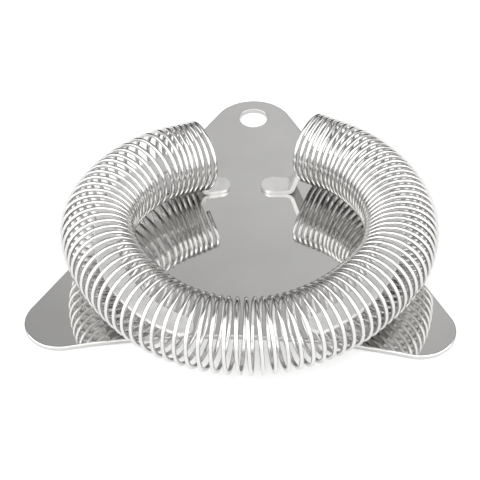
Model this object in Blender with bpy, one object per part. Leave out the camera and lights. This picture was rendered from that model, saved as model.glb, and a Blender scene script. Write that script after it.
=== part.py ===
"""Hawthorne strainer: a flat rounded-triangle plate, two bent retainer strips welded to its top
and one long coil spring threaded over the strips. It lies plate down, spring up.

Metres. +Z up, +Y towards the handle, -Y towards the pouring edge, +X to the right.
The origin is on the plate's underside, in the middle of the spring's ring.
"""

import math

import bmesh
import bpy
import numpy as np
from mathutils import Vector

MM = 0.001
GAP = 0.3 * MM

# Plate: straight sides tangent to two ear circles and one handle circle, with a hollow front edge.
PLATE_THICKNESS = 1.3 * MM
PLATE_EDGE_ROUND = 0.4 * MM
EAR_RADIUS = 8.7 * MM
EAR_X = 41.3 * MM
EAR_Y = -21.0 * MM
HANDLE_RADIUS = 10.2 * MM
HANDLE_Y = 51.3 * MM
FRONT_EDGE_Y = -24.6 * MM
HANG_HOLE_RADIUS = 3.85 * MM
HANG_HOLE_Y = 54.3 * MM
HANG_HOLE_SIDES = 40
EAR_REST_RADIUS = 47.0 * MM
HANDLE_REST_Y = 41.0 * MM

# Retainer strips: a round foot on the plate, a ramp, then an arc that runs level inside the coil.
STRIP_WIDTH = 5.3 * MM
STRIP_THICKNESS = 1.0 * MM
STRIP_EDGE_ROUND = 0.2 * MM
STRIP_UNDERSIDE_Z = 11.0 * MM
RAMP_SLOPE = math.radians(71)
RAMP_BEND_RADIUS = 1.5 * MM
CORNER_START_X = 10.0 * MM
TIP_STEPS = 7

# Each strip seen from above: foot tip, foot's turn, distance out to the foot of the ramp, reach to
# the side and to the front, and the angle from straight ahead at which it ends.
LEFT_STRIP = {
    "tip_x": 4.7 * MM,
    "tip_y": 27.5 * MM,
    "foot_turn": math.radians(13),
    "ramp_x": 9.8 * MM,
    "side_reach": 32.4 * MM,
    "front_reach": 34.4 * MM,
    "end_angle": math.radians(17.5),
}
RIGHT_STRIP = {
    "tip_x": 3.1 * MM,
    "tip_y": 27.3 * MM,
    "foot_turn": 0.0,
    "ramp_x": 9.6 * MM,
    "side_reach": 35.0 * MM,
    "front_reach": 35.6 * MM,
    "end_angle": math.radians(28),
}

# Coil spring: a right-handed helix. The guide points run along the coil's axis from the left end.
WIRE_DIAMETER = 1.0 * MM
WIRE_SIDES = 5
COIL_OUTER_RADIUS = 8.8 * MM
COIL_STEPS_PER_TURN = 12
COIL_START_TURN = -0.36
COIL_GUIDE_MM = (
    (-11.4, 27.3, 11.4),
    (-22.3, 21.0, 12.5),
    (-30.3, 11.3, 13.2),
    (-34.0, -0.7, 13.6),
    (-31.2, -12.8, 13.8),
    (-24.5, -23.5, 13.8),
    (-15.1, -31.9, 13.8),
    (-3.3, -36.3, 13.8),
    (9.3, -35.7, 13.7),
    (20.5, -30.0, 13.5),
    (29.4, -21.0, 13.3),
    (35.5, -10.0, 13.1),
    (37.0, 2.5, 12.8),
    (33.4, 14.5, 12.3),
    (25.8, 24.2, 12.0),
    (15.1, 30.6, 11.9),
)
# Pitch at shares of the coil's length: nearly closed at both ends, widest just past the left end.
COIL_PITCH_MM = (
    (0.0, 1.5),
    (0.035, 1.4),
    (0.075, 2.95),
    (0.12, 2.2),
    (0.4, 2.3),
    (0.55, 2.2),
    (0.75, 1.88),
    (0.95, 1.87),
    (1.0, 1.3),
)
# Each ramp pushes the low inner side of the end turns a little way along the coil.
RAMP_PUSH = 0.9 * MM
RAMP_PUSH_REACH = 6.0 * MM
RAMP_PUSH_SIDE = math.radians(-135)


def clear_scene():
    for old in list(bpy.data.objects):
        bpy.data.objects.remove(old, do_unlink=True)


def steel(name, colour, roughness):
    material = bpy.data.materials.new(name)
    material.use_nodes = True
    shader = material.node_tree.nodes["Principled BSDF"]
    shader.inputs["Base Color"].default_value = (*colour, 1.0)
    shader.inputs["Metallic"].default_value = 1.0
    shader.inputs["Roughness"].default_value = roughness
    return material


def add_object(name, mesh, material, smooth_angle=math.radians(30)):
    mesh.materials.append(material)
    mesh.shade_smooth()
    mesh.set_sharp_from_angle(angle=smooth_angle)
    made = bpy.data.objects.new(name, mesh)
    bpy.context.scene.collection.objects.link(made)
    return made


def round_edges(obj, width, segments=2):
    bevel = obj.modifiers.new("round_edges", "BEVEL")
    bevel.width = width
    bevel.segments = segments
    bevel.limit_method = "ANGLE"
    bevel.angle_limit = math.radians(50)


def arc(x, y, radius, start, end, steps):
    """Points along an arc, both ends included."""
    angles = np.linspace(start, end, steps + 1)
    return [(x + radius * math.cos(a), y + radius * math.sin(a)) for a in angles]


# ---------------------------------------------------------------- plate


def side_normal_angle():
    """Direction in which the straight side faces, as a tangent to the handle and ear circles."""
    across, along = EAR_X, EAR_Y - HANDLE_Y
    apart = math.hypot(across, along)
    return math.atan2(along, across) + math.acos((HANDLE_RADIUS - EAR_RADIUS) / apart)


def front_arc_radius():
    """Radius of the hollow front edge, tangent to both ear circles."""
    ahead = EAR_Y - FRONT_EDGE_Y
    return (EAR_X**2 + ahead**2 - EAR_RADIUS**2) / (2 * (EAR_RADIUS - ahead))


def plate_outline():
    """Anticlockwise, from the middle of the front edge."""
    facing = side_normal_angle()
    front_radius = front_arc_radius()
    front_y = FRONT_EDGE_Y - front_radius
    to_ear = math.atan2(EAR_Y - front_y, EAR_X)
    right = arc(0, front_y, front_radius, math.pi / 2, to_ear, 10)
    right += arc(EAR_X, EAR_Y, EAR_RADIUS, to_ear - math.pi, facing, 18)[1:]
    right += arc(0, HANDLE_Y, HANDLE_RADIUS, facing, math.pi / 2, 12)
    left = [(-x, y) for x, y in reversed(right[1:-1])]
    return right + left


def make_plate():
    shape = bmesh.new()
    corners = [shape.verts.new((x, y, 0)) for x, y in plate_outline()]
    face = shape.faces.new(corners)
    extruded = bmesh.ops.extrude_face_region(shape, geom=[face])
    top = [v for v in extruded["geom"] if isinstance(v, bmesh.types.BMVert)]
    bmesh.ops.translate(shape, verts=top, vec=(0, 0, PLATE_THICKNESS))
    bmesh.ops.recalc_face_normals(shape, faces=shape.faces)
    divide_at_rests(shape)
    mesh = bpy.data.meshes.new("plate")
    shape.to_mesh(mesh)
    shape.free()
    plate = add_object("plate", mesh, steel("satin_plate_steel", (0.62, 0.61, 0.60), 0.25))
    hole = plate.modifiers.new("hang_hole", "BOOLEAN")
    hole.operation = "DIFFERENCE"
    hole.object = make_hole_cutter()
    round_edges(plate, PLATE_EDGE_ROUND)
    return plate


def divide_at_rests(shape):
    """Makes each of the three tabs that lie on a tin's rim a face of its own."""
    ear_distance = math.hypot(EAR_X, EAR_Y)
    for side in (-1, 1):
        facing = Vector((side * EAR_X, EAR_Y, 0)) / ear_distance
        divide(shape, facing * EAR_REST_RADIUS, facing)
    divide(shape, (0, HANDLE_REST_Y, 0), (0, 1, 0))


def divide(shape, point, normal):
    everything = [*shape.verts, *shape.edges, *shape.faces]
    bmesh.ops.bisect_plane(shape, geom=everything, plane_co=point, plane_no=normal)


def make_hole_cutter():
    shape = bmesh.new()
    bmesh.ops.create_cone(
        shape,
        cap_ends=True,
        segments=HANG_HOLE_SIDES,
        radius1=HANG_HOLE_RADIUS,
        radius2=HANG_HOLE_RADIUS,
        depth=4 * PLATE_THICKNESS,
    )
    mesh = bpy.data.meshes.new("hang_hole_cutter")
    shape.to_mesh(mesh)
    shape.free()
    cutter = bpy.data.objects.new("hang_hole_cutter", mesh)
    bpy.context.scene.collection.objects.link(cutter)
    cutter.location = (0, HANG_HOLE_Y, PLATE_THICKNESS / 2)
    cutter.hide_render = True
    cutter.display_type = "WIRE"
    return cutter


# ---------------------------------------------------------------- retainer strips


def strip_plan(layout):
    """Right-hand strip's centreline seen from above: straight foot, then two parts of ellipses."""
    tip_x, tip_y, side_reach = layout["tip_x"], layout["tip_y"], layout["side_reach"]
    corner_y = tip_y - (CORNER_START_X - tip_x) * math.tan(layout["foot_turn"])
    across = side_reach - CORNER_START_X
    turn = np.linspace(0, math.pi / 2, 41)
    corner = [(CORNER_START_X + across * math.sin(t), corner_y * math.cos(t)) for t in turn]
    turn = np.linspace(math.pi / 2, layout["end_angle"], 25)[1:]
    front = [(side_reach * math.sin(t), -layout["front_reach"] * math.cos(t)) for t in turn]
    return np.array([(tip_x, tip_y), *corner, *front])


def ramp_profile():
    """Distance along the ramp and height above the foot: bend up, straight slope, bend level."""
    rise = STRIP_UNDERSIDE_Z - PLATE_THICKNESS - GAP
    bend = RAMP_BEND_RADIUS * (1 - math.cos(RAMP_SLOPE))
    run = RAMP_BEND_RADIUS * math.sin(RAMP_SLOPE)
    straight = (rise - 2 * bend) / math.tan(RAMP_SLOPE)
    turn = np.linspace(0, RAMP_SLOPE, 6)
    up = [(RAMP_BEND_RADIUS * math.sin(a), RAMP_BEND_RADIUS * (1 - math.cos(a))) for a in turn]
    length = 2 * run + straight
    level = [(length - along, rise - height) for along, height in reversed(up)]
    return np.array(up + level)


def strip_stations(layout):
    """(point, sideways direction, half width) along the strip, from the foot's tip to its free end."""
    plan = strip_plan(layout)
    along = np.concatenate([[0], np.cumsum(np.linalg.norm(np.diff(plan, axis=0), axis=1))])
    length = along[-1]
    ramp = ramp_profile()
    ramp_along = layout["ramp_x"] - layout["tip_x"] + ramp[:, 0]
    half = STRIP_WIDTH / 2
    rounding = half * (1 - np.cos(np.linspace(0.06, math.pi / 2, TIP_STEPS)))
    ramp_end = ramp_along[-1]
    level = np.linspace(ramp_end, length - half, 34)[1:-1]
    stops = np.concatenate([rounding, ramp_along, level, length - rounding[::-1]])
    stations = []
    for stop in stops:
        x, y = (np.interp(stop, along, plan[:, axis]) for axis in (0, 1))
        z = PLATE_THICKNESS + GAP + np.interp(stop, ramp_along, ramp[:, 1])
        ahead, behind = min(stop + 0.2 * MM, length), max(stop - 0.2 * MM, 0)
        dx, dy = (
            np.interp(ahead, along, plan[:, axis]) - np.interp(behind, along, plan[:, axis])
            for axis in (0, 1)
        )
        sideways = np.array([dy, -dx]) / math.hypot(dx, dy)
        inside_tip = max(half - stop, half - (length - stop), 0)
        stations.append(((x, y, z), sideways, math.sqrt(half**2 - inside_tip**2)))
    return stations


def make_retainer(name, side, layout, material):
    """side is 1 for the right-hand strip and -1 for its mirror image on the left."""
    shape = bmesh.new()
    rows = []
    for (x, y, z), sideways, half in strip_stations(layout):
        row = []
        for edge in (-half, half):
            row.append(shape.verts.new((side * (x + edge * sideways[0]), y + edge * sideways[1], z)))
        rows.append(row)
    for (a, b), (c, d) in zip(rows, rows[1:]):
        shape.faces.new((a, b, d, c) if side > 0 else (b, a, c, d))
    shape.normal_update()
    mesh = bpy.data.meshes.new(name)
    shape.to_mesh(mesh)
    shape.free()
    strip = add_object(name, mesh, material)
    sheet = strip.modifiers.new("sheet_thickness", "SOLIDIFY")
    sheet.thickness = STRIP_THICKNESS
    sheet.offset = 1
    sheet.use_even_offset = True
    round_edges(strip, STRIP_EDGE_ROUND, segments=1)
    return strip


# ---------------------------------------------------------------- coil spring


def smooth_curve(points, steps):
    """Catmull-Rom curve through the points, with mirrored neighbours beyond both ends."""
    knots = np.array([2 * points[0] - points[1], *points, 2 * points[-1] - points[-2]])
    curve = []
    for a, b, c, d in zip(knots, knots[1:], knots[2:], knots[3:]):
        for t in np.linspace(0, 1, steps, endpoint=False):
            curve.append(
                0.5
                * (
                    2 * b
                    + (c - a) * t
                    + (2 * a - 5 * b + 4 * c - d) * t**2
                    + (3 * b - a - 3 * c + d) * t**3
                )
            )
    return np.array([*curve, knots[-2]])


def coil_path():
    """Wire centre, outward direction and wire direction at each step of the helix."""
    axis = smooth_curve(np.array(COIL_GUIDE_MM) * MM, 40)
    along = np.concatenate([[0], np.cumsum(np.linalg.norm(np.diff(axis, axis=0), axis=1))])
    shares, pitches = np.transpose(COIL_PITCH_MM)
    per_metre = 1 / (np.interp(along / along[-1], shares, pitches) * MM)
    turns = np.concatenate([[0], np.cumsum((per_metre[1:] + per_metre[:-1]) / 2 * np.diff(along))])
    steps = round(turns[-1] * COIL_STEPS_PER_TURN)
    turn = np.linspace(0, turns[-1], steps + 1)
    stop = np.interp(turn, turns, along)
    slope = np.gradient(axis, along, axis=0)
    middle = at_stops(stop, along, axis)
    heading = unit(at_stops(stop, along, slope))
    outward = unit(np.cross(heading, (0, 0, 1)))
    upward = np.cross(outward, heading)
    angle = 2 * math.pi * (COIL_START_TURN - turn)[:, None]
    spoke = outward * np.cos(angle) + upward * np.sin(angle)
    push = ramp_push(stop, along[-1])[:, None] * np.clip(np.cos(angle - RAMP_PUSH_SIDE), 0, 1) ** 4
    return middle + (COIL_OUTER_RADIUS - WIRE_DIAMETER / 2) * spoke + push * heading, spoke, heading


def ramp_push(stop, length):
    """Push along the coil, inwards from both ends and fading with distance from them."""
    from_left = np.exp(-stop / RAMP_PUSH_REACH)
    from_right = np.exp(-(length - stop) / RAMP_PUSH_REACH)
    return RAMP_PUSH * (from_left - from_right)


def at_stops(stop, along, values):
    return np.stack([np.interp(stop, along, column) for column in values.T], axis=1)


def unit(vectors):
    return vectors / np.linalg.norm(vectors, axis=1)[:, None]


def make_spring():
    """One wire of regular polygon section, as thick in area as the round wire."""
    centres, spokes, headings = coil_path()
    area_share = 2 * math.pi / (WIRE_SIDES * math.sin(2 * math.pi / WIRE_SIDES))
    radius = WIRE_DIAMETER / 2 * math.sqrt(area_share)
    corners = [2 * math.pi * k / WIRE_SIDES for k in range(WIRE_SIDES)]
    points = [
        centre + radius * (math.cos(a) * spoke + math.sin(a) * heading)
        for centre, spoke, heading in zip(centres, spokes, headings)
        for a in corners
    ]
    faces = [tuple(range(WIRE_SIDES))]
    for ring in range(len(centres) - 1):
        for k in range(WIRE_SIDES):
            a, b = ring * WIRE_SIDES + k, ring * WIRE_SIDES + (k + 1) % WIRE_SIDES
            faces.append((a, a + WIRE_SIDES, b + WIRE_SIDES, b))
    last = (len(centres) - 1) * WIRE_SIDES
    faces.append(tuple(last + k for k in reversed(range(WIRE_SIDES))))
    mesh = bpy.data.meshes.new("coil_spring")
    mesh.from_pydata([tuple(p) for p in points], [], faces)
    shape = bmesh.new()
    shape.from_mesh(mesh)
    bmesh.ops.recalc_face_normals(shape, faces=shape.faces)
    shape.to_mesh(mesh)
    shape.free()
    wire = steel("bright_wire_steel", (0.78, 0.77, 0.76), 0.15)
    return add_object("coil_spring", mesh, wire, smooth_angle=math.radians(80))


def main():
    clear_scene()
    make_plate()
    strip_steel = steel("satin_strip_steel", (0.66, 0.65, 0.64), 0.22)
    make_retainer("left_retainer_strip", -1, LEFT_STRIP, strip_steel)
    make_retainer("right_retainer_strip", 1, RIGHT_STRIP, strip_steel)
    make_spring()


main()
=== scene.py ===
"""Looks for the hawthorne strainer: fine plate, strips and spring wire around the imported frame,
with satin and bright steel, a pale floor, soft studio light and one fixed camera.

Metres. +Z up, +Y towards the handle, -Y towards the pouring edge, +X to the right.
"""

import math

import bmesh
import bpy
import numpy as np
from mathutils import Matrix, Vector

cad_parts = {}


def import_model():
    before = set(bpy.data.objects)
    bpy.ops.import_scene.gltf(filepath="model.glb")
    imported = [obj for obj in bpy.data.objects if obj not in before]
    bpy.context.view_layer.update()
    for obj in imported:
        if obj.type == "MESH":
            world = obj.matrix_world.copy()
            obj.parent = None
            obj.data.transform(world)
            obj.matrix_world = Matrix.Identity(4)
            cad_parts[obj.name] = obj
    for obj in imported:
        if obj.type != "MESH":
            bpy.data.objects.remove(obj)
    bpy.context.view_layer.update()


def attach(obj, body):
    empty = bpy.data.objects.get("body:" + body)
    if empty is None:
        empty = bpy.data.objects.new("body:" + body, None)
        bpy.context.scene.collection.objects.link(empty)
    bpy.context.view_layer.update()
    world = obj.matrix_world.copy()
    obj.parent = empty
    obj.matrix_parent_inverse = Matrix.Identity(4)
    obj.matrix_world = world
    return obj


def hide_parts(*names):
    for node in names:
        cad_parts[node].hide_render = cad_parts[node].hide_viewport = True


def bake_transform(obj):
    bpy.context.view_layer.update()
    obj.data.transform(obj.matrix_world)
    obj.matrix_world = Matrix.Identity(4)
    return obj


MM = 0.001
SMOOTH_BELOW = math.radians(60)

# Plate, as in the CAD model, with a finer outline and slightly rounder edges.
PLATE_THICKNESS = 1.3 * MM
PLATE_EDGE_ROUND = 0.45 * MM
HOLE_EDGE_ROUND = 0.2 * MM
EDGE_ROUND_ROWS = 6
EAR_RADIUS = 8.7 * MM
EAR_X = 41.3 * MM
EAR_Y = -21.0 * MM
EAR_STEPS = 60
HANDLE_RADIUS = 10.2 * MM
HANDLE_Y = 51.3 * MM
HANDLE_STEPS = 48
FRONT_EDGE_Y = -24.6 * MM
FRONT_EDGE_STEPS = 40
HANG_HOLE_RADIUS = 3.85 * MM
HANG_HOLE_Y = 54.3 * MM
HANG_HOLE_SIDES = 96

# Retainer strips, as in the CAD model, with wider bends and their feet set down onto the plate.
STRIP_WIDTH = 5.3 * MM
STRIP_THICKNESS = 1.0 * MM
STRIP_EDGE_ROUND = 0.22 * MM
STRIP_UNDERSIDE_Z = 11.0 * MM
FOOT_UNDERSIDE_Z = 1.32 * MM
RAMP_SLOPE = math.radians(71)
RAMP_BEND_RADIUS = 2.2 * MM
RAMP_BEND_POINTS = 13
CORNER_START_X = 10.0 * MM
CORNER_POINTS = 81
FRONT_POINTS = 61
TIP_ROWS = 22
TIP_FIRST_ANGLE = 0.06
LEVEL_ROWS = 110
ACROSS_STRIP = (-1, -0.5, 0, 0.5, 1)
HEADING_REACH = 0.4 * MM

# Each strip seen from above: foot tip, foot's turn, distance out to the foot of the ramp, reach to
# the side and to the front, and the angle from straight ahead at which it ends.
LEFT_STRIP = {
    "tip_x": 4.7 * MM,
    "tip_y": 27.5 * MM,
    "foot_turn": math.radians(13),
    "ramp_x": 9.8 * MM,
    "side_reach": 32.4 * MM,
    "front_reach": 34.4 * MM,
    "end_angle": math.radians(17.5),
}
RIGHT_STRIP = {
    "tip_x": 3.1 * MM,
    "tip_y": 27.3 * MM,
    "foot_turn": 0.0,
    "ramp_x": 9.6 * MM,
    "side_reach": 35.0 * MM,
    "front_reach": 35.6 * MM,
    "end_angle": math.radians(28),
}

# Coil spring, as in the CAD model, with a round wire.
WIRE_DIAMETER = 1.0 * MM
WIRE_SIDES = 12
COIL_OUTER_RADIUS = 8.8 * MM
COIL_STEPS_PER_TURN = 40
COIL_START_TURN = -0.36

# Each cut end of the wire is rounded by smaller rings: (distance past the end, size), in wire radii.
CUT_END_RINGS = ((0.10, 0.72), (0.04, 0.93))

# The coil's axis, from its left end round the front to its right end.
COIL_GUIDE_MM = (
    (-11.4, 27.3, 11.4),
    (-22.3, 21.0, 12.5),
    (-30.3, 11.3, 13.2),
    (-34.0, -0.7, 13.6),
    (-31.2, -12.8, 13.8),
    (-24.5, -23.5, 13.8),
    (-15.1, -31.9, 13.8),
    (-3.3, -36.3, 13.8),
    (9.3, -35.7, 13.7),
    (20.5, -30.0, 13.5),
    (29.4, -21.0, 13.3),
    (35.5, -10.0, 13.1),
    (37.0, 2.5, 12.8),
    (33.4, 14.5, 12.3),
    (25.8, 24.2, 12.0),
    (15.1, 30.6, 11.9),
)
COIL_GUIDE_STEPS = 40

# Distance from one turn to the next, at shares of the axis's length.
COIL_PITCH_MM = (
    (0.0, 1.5),
    (0.035, 1.4),
    (0.075, 2.95),
    (0.12, 2.2),
    (0.4, 2.3),
    (0.55, 2.2),
    (0.75, 1.88),
    (0.95, 1.87),
    (1.0, 1.3),
)

# Each ramp pushes the low inner side of the end turns a little way along the coil.
RAMP_PUSH = 0.9 * MM
RAMP_PUSH_REACH = 6.0 * MM
RAMP_PUSH_SIDE = math.radians(-135)
RAMP_PUSH_SHARPNESS = 4

# Camera.
VIEW_TARGET = Vector((-0.27, 7.6, 1.3)) * MM
VIEW_AZIMUTH = math.radians(3.47)
VIEW_ELEVATION = math.radians(43.03)
VIEW_DISTANCE = 456.1 * MM
VIEW_ROLL = math.radians(1.15)
LENS_MM = 141.2
SHIFT_X = -0.0084
SHIFT_Y = 0.0006

# Studio: brightness of the surroundings, where white paper in full light is about 1. A direction is
# a unit vector, so each range below runs from -1 to 1 across, along or up.
FRONT_WALL = 1.25
CARD_LEVELS = (0.95, 0.15)
CARD_DARKENS_UP = (0.66, 0.9)
LOW_BACK = 0.08
LOW_BACK_ENDS_UP = (0.3, 0.52)
LEFT_OF_CARD = 0.7
LEFT_OF_CARD_ACROSS = (-0.2, 0)
SIDE_WALL_REACH = 0.35
WALL_TO_CARD_ALONG = (-0.05, 0.15)

# Softboxes: (name, azimuth, elevation, size, brightness). Azimuth 0 is behind the part, 180 in front.
SOFTBOX_DISTANCE = 1.0
SOFTBOXES = (
    ("left_softbox", 243, 27, (1.4, 1.0), 1.9),
    ("right_softbox", 117, 27, (1.4, 1.0), 1.6),
    ("front_softbox", 180, 20, (1.1, 0.35), 1.2),
    ("top_softbox", 180, 78, (0.9, 0.3), 3.5),
)


# ---------------------------------------------------------------- materials


class Nodes:
    """Short calls for building one node tree."""

    def __init__(self, tree):
        self.tree = tree

    def add(self, kind, **settings):
        node = self.tree.nodes.new(kind)
        for name, value in settings.items():
            setattr(node, name, value)
        return node

    def link(self, source, target):
        self.tree.links.new(source, target)

    def noise(self, coordinates, scale, detail):
        node = self.add("ShaderNodeTexNoise")
        node.inputs["Scale"].default_value = scale
        node.inputs["Detail"].default_value = detail
        node.inputs["Roughness"].default_value = 0.5
        self.link(coordinates, node.inputs["Vector"])
        return node.outputs["Fac"]

    def stretched(self, coordinates, scale):
        node = self.add("ShaderNodeMapping")
        node.inputs["Scale"].default_value = scale
        self.link(coordinates, node.inputs["Vector"])
        return node.outputs["Vector"]

    def spread(self, value, low, high, from_low=0.3, from_high=0.7):
        """Maps from_low..from_high onto low..high and holds it there; the defaults suit a noise."""
        node = self.add("ShaderNodeMapRange")
        node.inputs["From Min"].default_value = from_low
        node.inputs["From Max"].default_value = from_high
        node.inputs["To Min"].default_value = low
        node.inputs["To Max"].default_value = high
        self.link(value, node.inputs["Value"])
        return node.outputs["Result"]

    def product(self, first, second):
        node = self.add("ShaderNodeMath", operation="MULTIPLY")
        self.link(first, node.inputs[0])
        self.link(second, node.inputs[1])
        return node.outputs["Value"]

    def blend_colours(self, value, first, second):
        node = self.add("ShaderNodeMix", data_type="RGBA")
        self.link(value, node.inputs["Factor"])
        colours = [socket for socket in node.inputs if socket.type == "RGBA"]
        colours[0].default_value = (*first, 1)
        colours[1].default_value = (*second, 1)
        return next(socket for socket in node.outputs if socket.type == "RGBA")

    def bump(self, height, strength, distance):
        node = self.add("ShaderNodeBump")
        node.inputs["Strength"].default_value = strength
        node.inputs["Distance"].default_value = distance
        self.link(height, node.inputs["Height"])
        return node.outputs["Normal"]


def new_material(name):
    material = bpy.data.materials.new(name)
    material.use_nodes = True
    nodes = Nodes(material.node_tree)
    shader = material.node_tree.nodes["Principled BSDF"]
    place = nodes.add("ShaderNodeTexCoord").outputs["Object"]
    return material, nodes, shader, place


def steel(name, clouds, dark, light, grain, roughness, relief):
    """Metal whose tone drifts between dark and light in clouds, under a fine grain.

    clouds is the noise's (scale, detail), grain its scale along X, Y and Z, roughness the least and
    the most along the grain, and relief the grain's bump (strength, distance).
    """
    material, nodes, shader, place = new_material(name)
    shader.inputs["Metallic"].default_value = 1.0
    drift = nodes.spread(nodes.noise(place, *clouds), 0, 1)
    nodes.link(nodes.blend_colours(drift, dark, light), shader.inputs["Base Color"])
    lines = nodes.noise(nodes.stretched(place, grain), 1.0, detail=2)
    nodes.link(nodes.spread(lines, *roughness), shader.inputs["Roughness"])
    nodes.link(nodes.bump(lines, *relief), shader.inputs["Normal"])
    return material


def plate_steel():
    """Rolled sheet, tumbled to a satin polish: very fine grain along X and faint cloudy patches."""
    return steel(
        "satin_plate_steel",
        clouds=(60, 4),
        dark=(0.51, 0.506, 0.498),
        light=(0.55, 0.546, 0.538),
        grain=(300, 2600, 300),
        roughness=(0.04, 0.07),
        relief=(0.12, 0.02 * MM),
    )


def strip_steel_painted_light():
    """The same sheet steel, left with a coarse brushed grain that scatters the light, and painted far
    lighter than the plate: painted light for the overhead light its rough top catches.
    """
    return steel(
        "brushed_strip_steel_painted_light",
        clouds=(350, 4),
        # Painted light: a tone well above the steel's own, so the strips look as bright as under strong
        # overhead light.
        dark=(0.86, 0.855, 0.845),
        light=(0.97, 0.965, 0.955),
        grain=(500, 2400, 500),
        roughness=(0.40, 0.54),
        relief=(0.3, 0.03 * MM),
    )


def wire_steel():
    """Bright drawn wire with a fine even grain and a slight change of tone from place to place."""
    return steel(
        "bright_wire_steel",
        clouds=(90, 3),
        dark=(0.58, 0.575, 0.567),
        light=(0.63, 0.625, 0.617),
        grain=(1500, 1500, 1500),
        roughness=(0.14, 0.20),
        relief=(0.08, 0.02 * MM),
    )


def floor_white():
    material, nodes, shader, place = new_material("matt_white_floor")
    drift = nodes.spread(nodes.noise(place, 8, detail=3), 0, 1)
    tone = nodes.blend_colours(drift, (0.72, 0.72, 0.72), (0.74, 0.74, 0.74))
    nodes.link(tone, shader.inputs["Base Color"])
    shader.inputs["Roughness"].default_value = 0.9
    shader.inputs["Emission Color"].default_value = (1, 1, 1, 1)
    shader.inputs["Emission Strength"].default_value = 0.15
    return material


# ---------------------------------------------------------------- shared shape code


def add_piece(name, shape, material, smooth_angle):
    mesh = bpy.data.meshes.new(name)
    shape.to_mesh(mesh)
    shape.free()
    mesh.materials.append(material)
    mesh.shade_smooth()
    mesh.set_sharp_from_angle(angle=smooth_angle)
    piece = bpy.data.objects.new(name, mesh)
    bpy.context.scene.collection.objects.link(piece)
    return piece


def arc(x, y, radius, start, end, steps):
    """Points along an arc, both ends included."""
    angles = np.linspace(start, end, steps + 1)
    return [(x + radius * math.cos(a), y + radius * math.sin(a)) for a in angles]


def bridge_rings(shape, rings):
    """Quads from each closed ring of vertices to the next."""
    for low, high in zip(rings, rings[1:]):
        for a, b, c, d in zip(low, low[1:] + low[:1], high[1:] + high[:1], high):
            shape.faces.new((a, b, c, d))


def ring_edges(shape, ring):
    return [shape.edges.get((a, b)) for a, b in zip(ring, ring[1:] + ring[:1])]


def unit(vectors):
    return vectors / np.linalg.norm(vectors, axis=1)[:, None]


def distance_along(points):
    """Distance of each point from the first one, along the line through them all."""
    return np.concatenate([[0], np.cumsum(np.linalg.norm(np.diff(points, axis=0), axis=1))])


# ---------------------------------------------------------------- plate


def plate_outline():
    """Anticlockwise, from the middle of the front edge: tangent arcs and straight sides."""
    across, along = EAR_X, EAR_Y - HANDLE_Y
    apart = math.hypot(across, along)
    facing = math.atan2(along, across) + math.acos((HANDLE_RADIUS - EAR_RADIUS) / apart)
    ahead = EAR_Y - FRONT_EDGE_Y
    front_radius = (EAR_X**2 + ahead**2 - EAR_RADIUS**2) / (2 * (EAR_RADIUS - ahead))
    front_y = FRONT_EDGE_Y - front_radius
    to_ear = math.atan2(EAR_Y - front_y, EAR_X)
    right = arc(0, front_y, front_radius, math.pi / 2, to_ear, FRONT_EDGE_STEPS)
    right += arc(EAR_X, EAR_Y, EAR_RADIUS, to_ear - math.pi, facing, EAR_STEPS)[1:]
    right += arc(0, HANDLE_Y, HANDLE_RADIUS, facing, math.pi / 2, HANDLE_STEPS)
    left = [(-x, y) for x, y in reversed(right[1:-1])]
    return right + left


def hole_outline():
    radius = HANG_HOLE_RADIUS - HOLE_EDGE_ROUND
    return arc(0, HANG_HOLE_Y, radius, 0, 2 * math.pi, HANG_HOLE_SIDES)[:-1]


def rounded_edge(shape, outline, side, radius):
    """Rings of vertices from the underside up round the edge to the top, and their surface normals.

    side is 1 around the outside and -1 around a hole. The edge is full at mid-thickness.
    """
    loop = np.array(outline)
    tangent = unit(np.roll(loop, -1, axis=0) - np.roll(loop, 1, axis=0))
    outward = np.stack([tangent[:, 1], -tangent[:, 0]], axis=1) * side
    quarter = np.linspace(0, math.pi / 2, EDGE_ROUND_ROWS)
    profile = [(a, radius * (1 - math.cos(a)), -1) for a in quarter]
    profile += [(a, PLATE_THICKNESS - radius * (1 - math.cos(a)), 1) for a in quarter[::-1]]
    rings = []
    normals = []
    for angle, height, up in profile:
        ring = loop - outward * radius * (1 - math.sin(angle))
        rings.append([shape.verts.new((x, y, height)) for x, y in ring])
        normals += [(*(way * math.sin(angle)), up * math.cos(angle)) for way in outward]
    bridge_rings(shape, rings)
    return rings, normals


def make_plate(material):
    """Flat top and bottom joined by rounded edges, around the outline and around the hanging hole."""
    shape = bmesh.new()
    outer_rings, outer_normals = rounded_edge(shape, plate_outline(), 1, PLATE_EDGE_ROUND)
    hole_rings, hole_normals = rounded_edge(shape, hole_outline(), -1, HOLE_EDGE_ROUND)
    for level in (0, -1):
        edges = ring_edges(shape, outer_rings[level]) + ring_edges(shape, hole_rings[level])
        bmesh.ops.triangle_fill(shape, edges=edges, use_beauty=True)
    bmesh.ops.recalc_face_normals(shape, faces=shape.faces)
    plate = add_piece("plate_sheet", shape, material, math.pi)
    plate.data.normals_split_custom_set_from_vertices(outer_normals + hole_normals)
    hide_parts("plate")
    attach(plate, "plate")


# ---------------------------------------------------------------- retainer strips


def strip_plan(layout):
    """Right-hand strip's centreline seen from above: straight foot, then two parts of ellipses."""
    tip_x, tip_y, side_reach = layout["tip_x"], layout["tip_y"], layout["side_reach"]
    corner_y = tip_y - (CORNER_START_X - tip_x) * math.tan(layout["foot_turn"])
    across = side_reach - CORNER_START_X
    turn = np.linspace(0, math.pi / 2, CORNER_POINTS)
    corner = [(CORNER_START_X + across * math.sin(t), corner_y * math.cos(t)) for t in turn]
    turn = np.linspace(math.pi / 2, layout["end_angle"], FRONT_POINTS)[1:]
    front = [(side_reach * math.sin(t), -layout["front_reach"] * math.cos(t)) for t in turn]
    return np.array([(tip_x, tip_y), *corner, *front])


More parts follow.
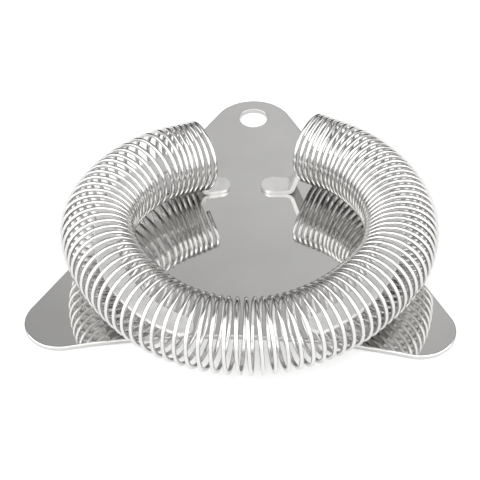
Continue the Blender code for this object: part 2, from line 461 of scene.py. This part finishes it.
def ramp_profile():
    """Distance along the ramp and height above the foot: bend up, straight slope, bend level."""
    rise = STRIP_UNDERSIDE_Z - FOOT_UNDERSIDE_Z
    bend = RAMP_BEND_RADIUS * (1 - math.cos(RAMP_SLOPE))
    run = RAMP_BEND_RADIUS * math.sin(RAMP_SLOPE)
    straight = (rise - 2 * bend) / math.tan(RAMP_SLOPE)
    turn = np.linspace(0, RAMP_SLOPE, RAMP_BEND_POINTS)
    up = [(RAMP_BEND_RADIUS * math.sin(a), RAMP_BEND_RADIUS * (1 - math.cos(a))) for a in turn]
    length = 2 * run + straight
    level = [(length - along, rise - height) for along, height in reversed(up)]
    return np.array(up + level)


def strip_stops(length, ramp_along):
    """Distances along the strip of its rows of vertices, closest together at its round ends."""
    half = STRIP_WIDTH / 2
    rounding = half * (1 - np.cos(np.linspace(TIP_FIRST_ANGLE, math.pi / 2, TIP_ROWS)))
    level = np.linspace(ramp_along[-1], length - half, LEVEL_ROWS)[1:-1]
    return np.concatenate([rounding, ramp_along, level, length - rounding[::-1]])


def strip_stations(layout):
    """(point, sideways direction, half width) along the strip, from the foot's tip to its free end."""
    plan = strip_plan(layout)
    along = distance_along(plan)
    length = along[-1]
    ramp = ramp_profile()
    ramp_along = layout["ramp_x"] - layout["tip_x"] + ramp[:, 0]
    half = STRIP_WIDTH / 2
    stations = []
    for stop in strip_stops(length, ramp_along):
        x, y = (np.interp(stop, along, plan[:, axis]) for axis in (0, 1))
        z = FOOT_UNDERSIDE_Z + np.interp(stop, ramp_along, ramp[:, 1])
        ahead, behind = min(stop + HEADING_REACH, length), max(stop - HEADING_REACH, 0)
        dx, dy = (
            np.interp(ahead, along, plan[:, axis]) - np.interp(behind, along, plan[:, axis])
            for axis in (0, 1)
        )
        sideways = np.array([dy, -dx]) / math.hypot(dx, dy)
        inside_tip = max(half - stop, half - (length - stop), 0)
        stations.append(((x, y, z), sideways, math.sqrt(half**2 - inside_tip**2)))
    return stations


def thicken(strip):
    """Gives the strip its thickness and round edges; its flat faces decide the shading."""
    sheet = strip.modifiers.new("sheet_thickness", "SOLIDIFY")
    sheet.thickness = STRIP_THICKNESS
    sheet.offset = 1
    sheet.use_even_offset = True
    rounding = strip.modifiers.new("round_edges", "BEVEL")
    rounding.width = STRIP_EDGE_ROUND
    rounding.segments = 3
    rounding.limit_method = "ANGLE"
    rounding.angle_limit = math.radians(50)
    weighted = strip.modifiers.new("flat_faces_first", "WEIGHTED_NORMAL")
    weighted.keep_sharp = True
    weighted.weight = 100


def make_retainer(name, node, side, layout, material):
    """side is 1 for the right-hand strip and -1 for its mirror image on the left."""
    shape = bmesh.new()
    rows = []
    for (x, y, z), sideways, half in strip_stations(layout):
        row = []
        for share in ACROSS_STRIP:
            edge = share * half
            row.append(shape.verts.new((side * (x + edge * sideways[0]), y + edge * sideways[1], z)))
        rows.append(row)
    for low, high in zip(rows, rows[1:]):
        for a, b, c, d in zip(low, low[1:], high[1:], high):
            shape.faces.new((a, b, c, d) if side > 0 else (b, a, d, c))
    shape.normal_update()
    strip = add_piece(name, shape, material, SMOOTH_BELOW)
    thicken(strip)
    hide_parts(node)
    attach(strip, "plate")


# ---------------------------------------------------------------- coil spring


def smooth_curve(points, steps):
    """Catmull-Rom curve through the points, with mirrored neighbours beyond both ends."""
    knots = np.array([2 * points[0] - points[1], *points, 2 * points[-1] - points[-2]])
    curve = []
    for a, b, c, d in zip(knots, knots[1:], knots[2:], knots[3:]):
        for t in np.linspace(0, 1, steps, endpoint=False):
            square = (2 * a - 5 * b + 4 * c - d) * t**2
            cube = (3 * b - a - 3 * c + d) * t**3
            curve.append(0.5 * (2 * b + (c - a) * t + square + cube))
    return np.array([*curve, knots[-2]])


def at_stops(stop, along, values):
    """The values, given at distances along the axis, read off at each stop."""
    return np.stack([np.interp(stop, along, column) for column in values.T], axis=1)


def ramp_push(stop, length):
    """Push along the coil, inwards from both ends and fading with distance from them."""
    from_left = np.exp(-stop / RAMP_PUSH_REACH)
    from_right = np.exp(-(length - stop) / RAMP_PUSH_REACH)
    return RAMP_PUSH * (from_left - from_right)


def coil_path():
    """Centre of the wire, and the direction to it from the coil's axis, at each step of the helix."""
    axis = smooth_curve(np.array(COIL_GUIDE_MM) * MM, COIL_GUIDE_STEPS)
    along = distance_along(axis)
    shares, pitches = np.transpose(COIL_PITCH_MM)
    per_metre = 1 / (np.interp(along / along[-1], shares, pitches) * MM)
    turns = np.concatenate([[0], np.cumsum((per_metre[1:] + per_metre[:-1]) / 2 * np.diff(along))])
    steps = round(turns[-1] * COIL_STEPS_PER_TURN)
    turn = np.linspace(0, turns[-1], steps + 1)
    stop = np.interp(turn, turns, along)
    slope = np.gradient(axis, along, axis=0)
    middle = at_stops(stop, along, axis)
    heading = unit(at_stops(stop, along, slope))
    outward = unit(np.cross(heading, (0, 0, 1)))
    upward = np.cross(outward, heading)
    angle = 2 * math.pi * (COIL_START_TURN - turn)[:, None]
    spoke = outward * np.cos(angle) + upward * np.sin(angle)
    facing_ramp = np.clip(np.cos(angle - RAMP_PUSH_SIDE), 0, 1) ** RAMP_PUSH_SHARPNESS
    push = ramp_push(stop, along[-1])[:, None] * facing_ramp
    return middle + (COIL_OUTER_RADIUS - WIRE_DIAMETER / 2) * spoke + push * heading, spoke


def wire_rings(centres, forward):
    """(centre, radius) of each ring of the wire, with smaller ones that round its two cut ends."""
    radius = WIRE_DIAMETER / 2
    rings = [(centre, radius) for centre in centres]
    starts = [(centres[0] - forward[0] * radius * out, radius * size) for out, size in CUT_END_RINGS]
    ends = [(centres[-1] + forward[-1] * radius * out, radius * size) for out, size in CUT_END_RINGS]
    return starts + rings + ends[::-1]


def make_spring(material):
    """One round wire swept along the helix."""
    centres, spokes = coil_path()
    forward = unit(np.gradient(centres, axis=0))
    across = unit(np.cross(forward, spokes))
    spokes = np.cross(across, forward)
    cut_rows = ((len(CUT_END_RINGS), len(CUT_END_RINGS)), (0, 0))
    spokes = np.pad(spokes, cut_rows, mode="edge")
    across = np.pad(across, cut_rows, mode="edge")
    shape = bmesh.new()
    rings = []
    for (centre, size), spoke, side in zip(wire_rings(centres, forward), spokes, across):
        ring = []
        for k in range(WIRE_SIDES):
            turn = 2 * math.pi * k / WIRE_SIDES
            ring.append(shape.verts.new(centre + size * (math.cos(turn) * spoke + math.sin(turn) * side)))
        rings.append(ring)
    bridge_rings(shape, rings)
    shape.faces.new(rings[0])
    shape.faces.new(rings[-1][::-1])
    bmesh.ops.recalc_face_normals(shape, faces=shape.faces)
    wire = add_piece("coil_wire", shape, material, SMOOTH_BELOW)
    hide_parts("coil_spring")
    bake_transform(wire)


# ---------------------------------------------------------------- stage, light and camera


def make_floor():
    bpy.ops.mesh.primitive_grid_add(x_subdivisions=4, y_subdivisions=4, size=4)
    floor = bpy.context.object
    floor.name = "floor"
    floor.location = (0, 0, -0.02 * MM)
    floor.data.materials.append(floor_white())


def softbox(name, azimuth, elevation, size, level):
    """A lit panel that faces the part."""
    away, up = math.radians(azimuth), math.radians(elevation)
    place = Vector((math.sin(away) * math.cos(up), math.cos(away) * math.cos(up), math.sin(up)))
    data = bpy.data.lights.new(name, "AREA")
    data.shape = "RECTANGLE"
    data.size, data.size_y = size
    data.energy = level * math.pi * size[0] * size[1]
    lamp = bpy.data.objects.new(name, data)
    lamp.location = place * SOFTBOX_DISTANCE
    lamp.rotation_euler = (-place).to_track_quat("-Z", "Y").to_euler()
    bpy.context.scene.collection.objects.link(lamp)


def card_strength(nodes, across, up):
    """Grey card behind the part: dark low down, darker again high up, and darker to the left."""
    rise = nodes.spread(up, LOW_BACK, 1, *LOW_BACK_ENDS_UP)
    fall = nodes.spread(up, *CARD_LEVELS, *CARD_DARKENS_UP)
    aside = nodes.spread(across, LEFT_OF_CARD, 1, *LEFT_OF_CARD_ACROSS)
    return nodes.product(nodes.product(rise, fall), aside)


def behind_part(nodes, across, along):
    """0 for directions that meet the front and side walls, 1 for those that meet the card."""
    aside = nodes.add("ShaderNodeMath", operation="ABSOLUTE")
    nodes.link(across, aside.inputs[0])
    behind = nodes.add("ShaderNodeMath", operation="MULTIPLY_ADD")
    nodes.link(aside.outputs["Value"], behind.inputs[0])
    behind.inputs[1].default_value = -SIDE_WALL_REACH
    nodes.link(along, behind.inputs[2])
    return nodes.spread(behind.outputs["Value"], 0, 1, *WALL_TO_CARD_ALONG)


def make_light():
    """Pale walls in front and beside, a grey card behind, and the softboxes."""
    world = bpy.data.worlds.new("studio")
    bpy.context.scene.world = world
    world.use_nodes = True
    nodes = Nodes(world.node_tree)
    axes = nodes.add("ShaderNodeSeparateXYZ")
    nodes.link(nodes.add("ShaderNodeTexCoord").outputs["Generated"], axes.inputs["Vector"])
    across, along, up = axes.outputs
    mix = nodes.add("ShaderNodeMix", data_type="FLOAT")
    nodes.link(behind_part(nodes, across, along), mix.inputs["Factor"])
    mix.inputs["A"].default_value = FRONT_WALL
    nodes.link(card_strength(nodes, across, up), mix.inputs["B"])
    background = world.node_tree.nodes["Background"]
    nodes.link(mix.outputs["Result"], background.inputs["Strength"])
    background.inputs["Color"].default_value = (1, 1, 1, 1)
    for box in SOFTBOXES:
        softbox(*box)


def make_camera():
    direction = Vector(
        (
            math.sin(VIEW_AZIMUTH) * math.cos(VIEW_ELEVATION),
            -math.cos(VIEW_AZIMUTH) * math.cos(VIEW_ELEVATION),
            math.sin(VIEW_ELEVATION),
        )
    )
    data = bpy.data.cameras.new("camera")
    data.lens = LENS_MM
    data.sensor_width = 36
    data.shift_x = SHIFT_X
    data.shift_y = SHIFT_Y
    data.clip_start = 0.01
    camera = bpy.data.objects.new("camera", data)
    bpy.context.scene.collection.objects.link(camera)
    place = VIEW_TARGET + direction * VIEW_DISTANCE
    facing = (-direction).to_track_quat("-Z", "Y").to_matrix().to_4x4()
    camera.matrix_world = Matrix.Translation(place) @ facing @ Matrix.Rotation(-VIEW_ROLL, 4, "Z")
    bpy.context.scene.camera = camera


def main():
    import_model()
    bpy.context.scene.view_settings.view_transform = "Standard"
    make_plate(plate_steel())
    strip_steel_painted_light_material = strip_steel_painted_light()
    make_retainer("left_strip", "left_retainer_strip", -1, LEFT_STRIP, strip_steel_painted_light_material)
    make_retainer("right_strip", "right_retainer_strip", 1, RIGHT_STRIP, strip_steel_painted_light_material)
    make_spring(wire_steel())
    make_floor()
    make_light()
    make_camera()


main()
